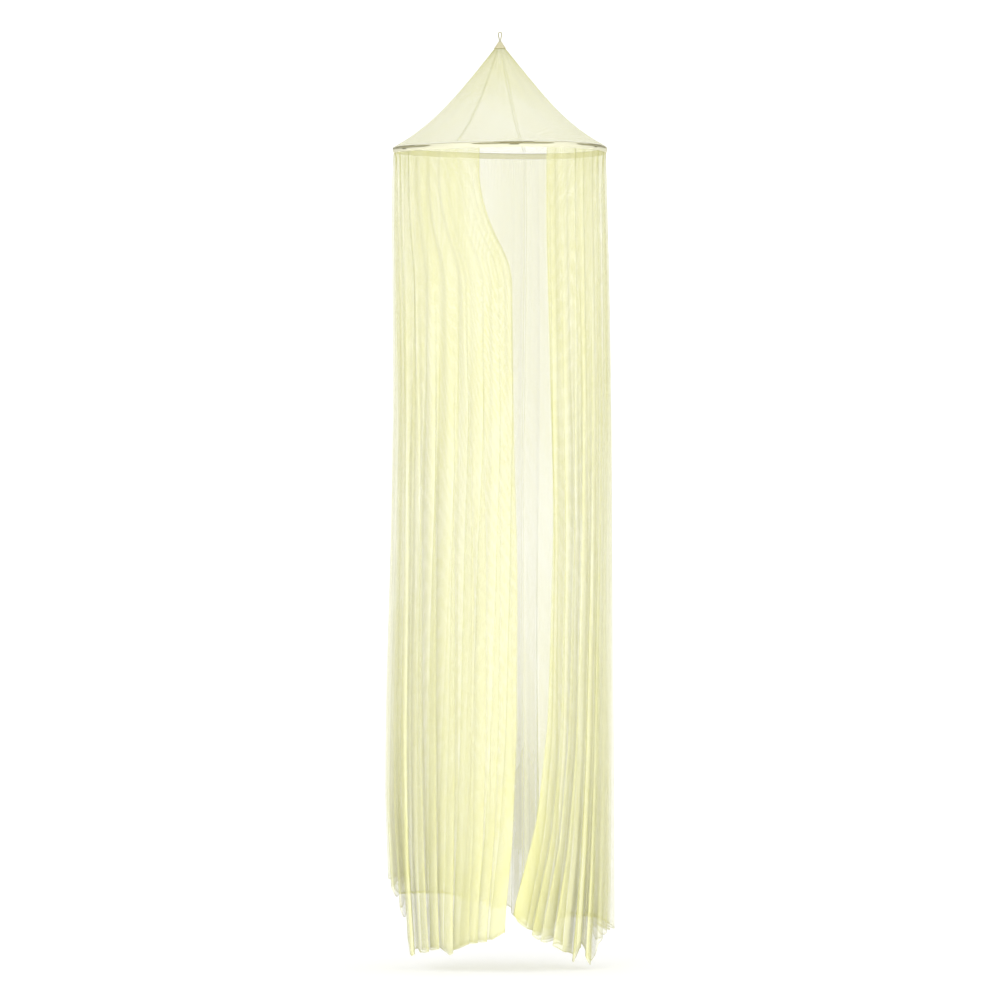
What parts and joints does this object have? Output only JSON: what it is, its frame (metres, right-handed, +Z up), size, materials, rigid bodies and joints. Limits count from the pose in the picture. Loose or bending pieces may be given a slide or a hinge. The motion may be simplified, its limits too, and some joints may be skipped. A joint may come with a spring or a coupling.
{
  "type": "mosquito net canopy with hoop",
  "caption": "Hanging mosquito net: a cone roof on a hoop in a cloth casing, and a long gathered wall with a door gap and an uneven hem.",
  "frame": {"origin": "underside of the hanging loop's crown, where the hook bears", "axes": "+Z up along the line the canopy hangs on; -Y to the front, where the door gap is; +X to the viewer's right"},
  "size_m": [0.6181, 0.6171, 2.487],
  "materials": {
    "net": "fine sheer net, pale cream yellow",
    "tape": "pale cream plain weave",
    "cord": "twisted cord, grey yellow",
    "rod": "dark olive, satin"
  },
  "bodies": {
    "root": {"hanging_loop": "cord", "apex_cap": "tape", "roof_left": "net", "roof_right": "net", "hoop": "rod", "hoop_sleeve": "rod", "hoop_casing": "tape", "wall_left": "net", "wall_right": "net"}
  },
  "joints": []
}
